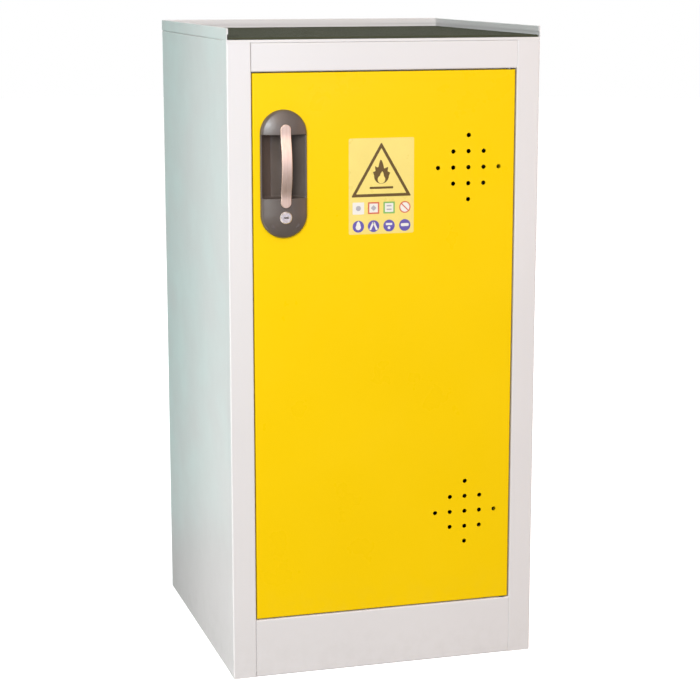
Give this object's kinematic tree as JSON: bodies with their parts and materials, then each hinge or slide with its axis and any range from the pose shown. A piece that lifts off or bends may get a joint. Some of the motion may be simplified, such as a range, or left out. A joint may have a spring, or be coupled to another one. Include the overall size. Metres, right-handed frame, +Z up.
{
  "type": "flammable storage cabinet",
  "caption": "Upright sheet-steel safety cabinet with a rimmed worktop, one hinged vented door, recessed pull handle, key-turned rod lock, tray shelves and a spill sump.",
  "frame": {"origin": "bottom centre of the overall bounding box, on the ground; the pull's projection is counted in the depth", "axes": "+Z up, the door faces -Y, +X to the right seen from the front (the hinge side)"},
  "size_m": [0.5, 0.5256, 1.018],
  "materials": {
    "case_paint": "light grey powder coat, fine orange peel, satin",
    "door_paint": "safety yellow powder coat, satin",
    "mat_rubber": "fine-ribbed dark rubber",
    "buffer_rubber": "soft black rubber",
    "galvanised_steel": "galvanised, faint spangle",
    "zinc_plated_steel": "bright zinc plating",
    "white_nylon": "moulded nylon",
    "black_acetal": "turned acetal",
    "handle_plastic": "anthracite moulded plastic, fine grain, satin",
    "satin_pull_metal": "satin, brushed along its length",
    "polished_lock_metal": "bright nickel plating",
    "label_film": "printed self-adhesive film"
  },
  "bodies": {
    "cabinet": {"side_panel_left": "case_paint", "side_panel_right": "case_paint", "back_panel": "case_paint", "top_panel": "case_paint", "worktop_mat": "mat_rubber", "top_rail": "case_paint", "plinth": "case_paint", "floor_pan": "case_paint", "upright_front_left": "case_paint", "upright_front_right": "case_paint", "upright_rear_left": "case_paint", "upright_rear_right": "case_paint", "shelf_clips": "zinc_plated_steel", "shelf_lower": "galvanised_steel", "shelf_upper": "galvanised_steel", "sump_tray": "galvanised_steel", "sump_grate": "galvanised_steel", "hinge_bracket_lower": "zinc_plated_steel", "hinge_bracket_upper": "zinc_plated_steel", "hinge_pin_lower": "zinc_plated_steel", "hinge_pin_upper": "zinc_plated_steel", "door_buffers": "buffer_rubber"},
    "door": {"door_skin": "door_paint", "door_stiffener": "door_paint", "hinge_plate_lower": "door_paint", "hinge_plate_upper": "door_paint", "hinge_bush_lower": "black_acetal", "hinge_bush_upper": "black_acetal", "handle_housing": "handle_plastic", "pull_strip": "satin_pull_metal", "pull_nuts": "zinc_plated_steel", "clamp_plate_upper": "zinc_plated_steel", "clamp_plate_lower": "zinc_plated_steel", "clamp_screws": "zinc_plated_steel", "hazard_label": "label_film", "lock_barrel": "polished_lock_metal", "lock_nut": "zinc_plated_steel", "lock_spacers": "zinc_plated_steel", "lock_mount_plate": "zinc_plated_steel", "lock_case": "zinc_plated_steel", "case_screws": "zinc_plated_steel", "rod_guide_upper": "white_nylon", "rod_guide_lower": "white_nylon", "guide_screws": "zinc_plated_steel"},
    "lock_core": {"lock_plug": "polished_lock_metal", "lock_tongue": "zinc_plated_steel", "lock_pinion": "zinc_plated_steel", "lock_clip": "zinc_plated_steel"},
    "upper_rod": {"upper_rod": "zinc_plated_steel"},
    "lower_rod": {"lower_rod": "zinc_plated_steel"}
  },
  "joints": [
    {"name": "door_hinge", "type": "hinge", "parent": "cabinet", "child": "door", "pos_m": [0.202, -0.23123, 0.5], "axis": [0, 0, 1], "range_deg": [0, 110]},
    {"name": "lock_turn", "type": "hinge", "parent": "door", "child": "lock_core", "pos_m": [-0.164, -0.23722, 0.734], "axis": [0, 1, 0], "range_deg": [0, 90]},
    {"name": "upper_rod_slide", "type": "slide", "parent": "door", "child": "upper_rod", "axis": [0, 0, 1], "range_m": [0, 0.0126]},
    {"name": "lower_rod_slide", "type": "slide", "parent": "door", "child": "lower_rod", "axis": [0, 0, -1], "range_m": [0, 0.0126]}
  ],
  "couplings": [
    {"joint": "upper_rod_slide", "follows": "lock_turn", "m_per_rad": 0.008},
    {"joint": "lower_rod_slide", "follows": "lock_turn", "m_per_rad": 0.008}
  ]
}
